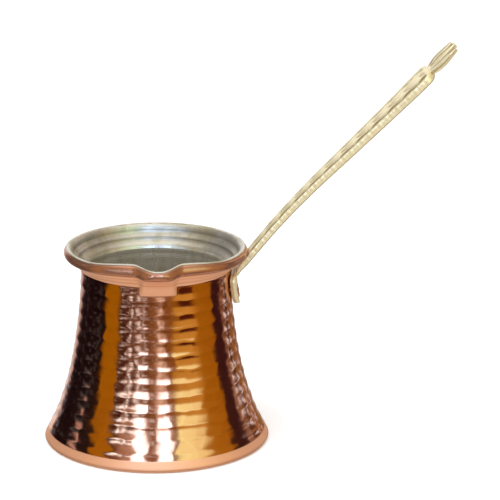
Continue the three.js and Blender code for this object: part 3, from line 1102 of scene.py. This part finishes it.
def studio_camera(studio):
    """A long lens a metre away, a little above the rim, that leaves the pot low on the left."""
    data = bpy.data.cameras.new("studio_camera")
    data.lens = studio.lens
    data.clip_end = 20
    camera = bpy.data.objects.new("studio_camera", data)
    azimuth = studio.camera_turn
    place = (
        studio.camera_distance * math.sin(azimuth),
        -studio.camera_distance * math.cos(azimuth),
        studio.camera_height,
    )
    turn = (
        Matrix.Rotation(azimuth + studio.camera_yaw, 4, "Z")
        @ Matrix.Rotation(math.pi / 2 - studio.camera_pitch, 4, "X")
        @ Matrix.Rotation(studio.camera_roll, 4, "Z")
    )
    camera.matrix_world = Matrix.Translation(place) @ turn
    bpy.context.scene.collection.objects.link(camera)
    bpy.context.scene.camera = camera


# ---- the add-on ---------------------------------------------------------------------


def length(name, description, default, **more):
    """A size in millimetres."""
    return bpy.props.FloatProperty(
        name=name, description=description, default=default, precision=3, **more
    )


def tint(name, description, default):
    """A colour."""
    return bpy.props.FloatVectorProperty(
        name=name, description=description, default=default, subtype="COLOR", size=3, min=0, max=1
    )


class PotSizes(bpy.types.PropertyGroup):
    around: bpy.props.IntProperty(
        name="Places round the pot", description="Columns of the copper's surface", default=448
    )
    tin_around: bpy.props.IntProperty(
        name="Places round the tin", description="Columns of the tin coat's surface", default=360
    )
    mark_step: length("Row step", "Distance between rows on the hammered wall, in mm", 0.56)
    mark_pitch: length("Mark pitch", "Distance from one hammer mark to the next, in mm", 5.75)
    mark_round_up: length("Mark hollow upwards", "Depth of a mark per mm squared, up the wall", 0.030)
    mark_round_across: length("Mark hollow across", "Depth of a mark per mm squared, round it", 0.0045)


class HandleSizes(bpy.types.PropertyGroup):
    strap_step: length("Strap step", "Distance between the strap's rings, in mm", 0.32)
    leaf_pitch: length("Leaf pitch", "Distance from one pair of leaves to the next, in mm", 9.0)


class Finishes(bpy.types.PropertyGroup):
    copper: tint("Copper", "Polished copper", (0.90, 0.42, 0.23))
    copper_dark: tint("Dark copper", "Tarnish on the copper", (0.72, 0.28, 0.14))
    copper_bright: tint("Bright copper", "Ridges between hammer marks", (0.96, 0.55, 0.36))
    copper_turned: tint("Turned copper", "Foot band and rim", (0.83, 0.42, 0.23))
    # painted reflection: the lip's darker brown stands in for the dark surroundings it mirrors
    copper_lip_shade: tint("Copper lip", "Rolled lip, browned by handling", (0.46, 0.20, 0.12))
    # painted shade: dark lines in the creases under the lip, on the flare and at the foot band
    copper_crease_shade: tint("Copper dirt", "Polish left in the corner under the lip", (0.22, 0.08, 0.04))
    tin: tint("Tin", "Tin coat", (0.68, 0.63, 0.53))
    tin_stain: tint("Stained tin", "Olive stains in the tin", (0.46, 0.41, 0.26))
    tin_bright: tint("Bright tin", "Wiped streaks in the tin", (0.80, 0.79, 0.76))
    # painted shade: the dark rings on the flare's tin
    tin_ring_shade: tint("Tin grooves", "Dark rings left by the lathe", (0.17, 0.14, 0.11))
    brass: tint("Brass", "Cast brass", (0.88, 0.76, 0.46))
    brass_worn: tint("Worn brass", "Paler rubbed brass", (0.93, 0.85, 0.62))
    # painted shade on the brass: hollows, edges and undersides
    brass_shade: tint("Brass hollows", "Dirt in the hollows", (0.26, 0.18, 0.08))


class Studio(bpy.types.PropertyGroup):
    lens: length("Lens", "Focal length of the camera, in mm", 179.3)
    camera_distance: bpy.props.FloatProperty(
        name="Camera distance", description="From the pot's axis, level", default=1.0, unit="LENGTH"
    )
    camera_height: bpy.props.FloatProperty(
        name="Camera height", description="Above the floor", default=0.3648, precision=4, unit="LENGTH"
    )
    camera_turn: bpy.props.FloatProperty(
        name="Camera azimuth",
        description="Round the pot",
        default=math.radians(-1.5),
        subtype="ANGLE",
    )
    camera_yaw: bpy.props.FloatProperty(
        name="Camera yaw",
        description="Away from the pot's axis",
        default=math.radians(-2.251),
        subtype="ANGLE",
    )
    camera_pitch: bpy.props.FloatProperty(
        name="Camera pitch",
        description="Below the horizon",
        default=math.radians(15.819),
        subtype="ANGLE",
    )
    camera_roll: bpy.props.FloatProperty(
        name="Camera roll",
        description="About its own axis",
        default=math.radians(0.235),
        subtype="ANGLE",
    )
    fill: bpy.props.FloatProperty(
        name="Fill light", description="Soft light from all round", default=1.08
    )


class CoffeePot(bpy.types.PropertyGroup):
    pot: bpy.props.PointerProperty(type=PotSizes)
    handle: bpy.props.PointerProperty(type=HandleSizes)
    finishes: bpy.props.PointerProperty(type=Finishes)
    studio: bpy.props.PointerProperty(type=Studio)


class COFFEEPOT_OT_copper(bpy.types.Operator):
    """Make the hammered copper pot"""

    bl_idname = "coffeepot.copper"
    bl_label = "Hammered copper pot"

    def execute(self, context):
        settings = context.scene.coffee_pot
        rings, attributes = copper_pot_rings(settings.pot)
        piece = tube_mesh("hammered_copper_pot", rings, attributes)
        finish_piece(piece, copper_finish(settings.finishes), "copper", "copper_body")
        return {"FINISHED"}


class COFFEEPOT_OT_tin(bpy.types.Operator):
    """Make the tin coat inside the pot"""

    bl_idname = "coffeepot.tin"
    bl_label = "Tin coat"

    def execute(self, context):
        settings = context.scene.coffee_pot
        piece = tube_mesh("tin_coat", *tin_coat_rings(settings.pot))
        finish_piece(piece, tin_finish(settings.finishes), "tin", "tin_lining")
        return {"FINISHED"}


class COFFEEPOT_OT_handle(bpy.types.Operator):
    """Make the cast handle: its plate, its strap and its tulip"""

    bl_idname = "coffeepot.handle"
    bl_label = "Cast brass handle"

    def execute(self, context):
        settings = context.scene.coffee_pot
        brass = brass_finish(settings.finishes)
        strap = tube_mesh("handle_strap", *strap_rings(settings.handle))
        plate = tube_mesh("handle_plate", *plate_rings())
        petals = [tube_mesh("tulip_petal", *petal_rings(*petal)) for petal in tulip_petals()]
        for piece in (strap, plate, joined("handle_tulip", petals)):
            finish_piece(piece, brass, "handle_brass", "brass_handle")
        return {"FINISHED"}


class COFFEEPOT_OT_rivets(bpy.types.Operator):
    """Make the three peened rivets"""

    bl_idname = "coffeepot.rivets"
    bl_label = "Rivets"

    def execute(self, context):
        finish = rivet_finish(context.scene.coffee_pot.finishes)
        for seed, (node, (height, across)) in enumerate(RIVETS.items()):
            piece = tube_mesh("peened_" + node, rivet_rings(height, across, seed))
            finish_piece(piece, finish, "rivet_copper", node)
        return {"FINISHED"}


class COFFEEPOT_OT_studio(bpy.types.Operator):
    """Make the floor, the lights, the surroundings and the camera"""

    bl_idname = "coffeepot.studio"
    bl_label = "Studio"

    def execute(self, context):
        studio = context.scene.coffee_pot.studio
        context.scene.view_settings.view_transform = "Standard"
        studio_world(studio)
        studio_floor()
        soft_light("overhead_light", (-0.5, -0.4, 1.2), (0, 0, 0.05), 1.2, 9.0)
        soft_light("front_light", (0.5, -1.4, 0.7), (0, 0, 0.05), 1.0, 6.0)
        studio_camera(studio)
        return {"FINISHED"}


class COFFEEPOT_PT_panel(bpy.types.Panel):
    """The coffee pot's operators, in the order in which they are run"""

    bl_idname = "COFFEEPOT_PT_panel"
    bl_label = "Coffee pot"
    bl_space_type = "VIEW_3D"
    bl_region_type = "UI"
    bl_category = "Coffee pot"

    def draw(self, context):
        for operator in OPERATORS:
            self.layout.operator(operator.bl_idname)


OPERATORS = (
    COFFEEPOT_OT_copper,
    COFFEEPOT_OT_tin,
    COFFEEPOT_OT_handle,
    COFFEEPOT_OT_rivets,
    COFFEEPOT_OT_studio,
)
CLASSES = (PotSizes, HandleSizes, Finishes, Studio, CoffeePot, *OPERATORS, COFFEEPOT_PT_panel)


def register():
    for item in CLASSES:
        bpy.utils.register_class(item)
    bpy.types.Scene.coffee_pot = bpy.props.PointerProperty(type=CoffeePot)


def unregister():
    del bpy.types.Scene.coffee_pot
    for item in reversed(CLASSES):
        bpy.utils.unregister_class(item)


def main():
    register()
    bpy.ops.coffeepot.copper()
    bpy.ops.coffeepot.tin()
    bpy.ops.coffeepot.handle()
    bpy.ops.coffeepot.rivets()
    bpy.ops.coffeepot.studio()


if __name__ == "__main__":
    main()
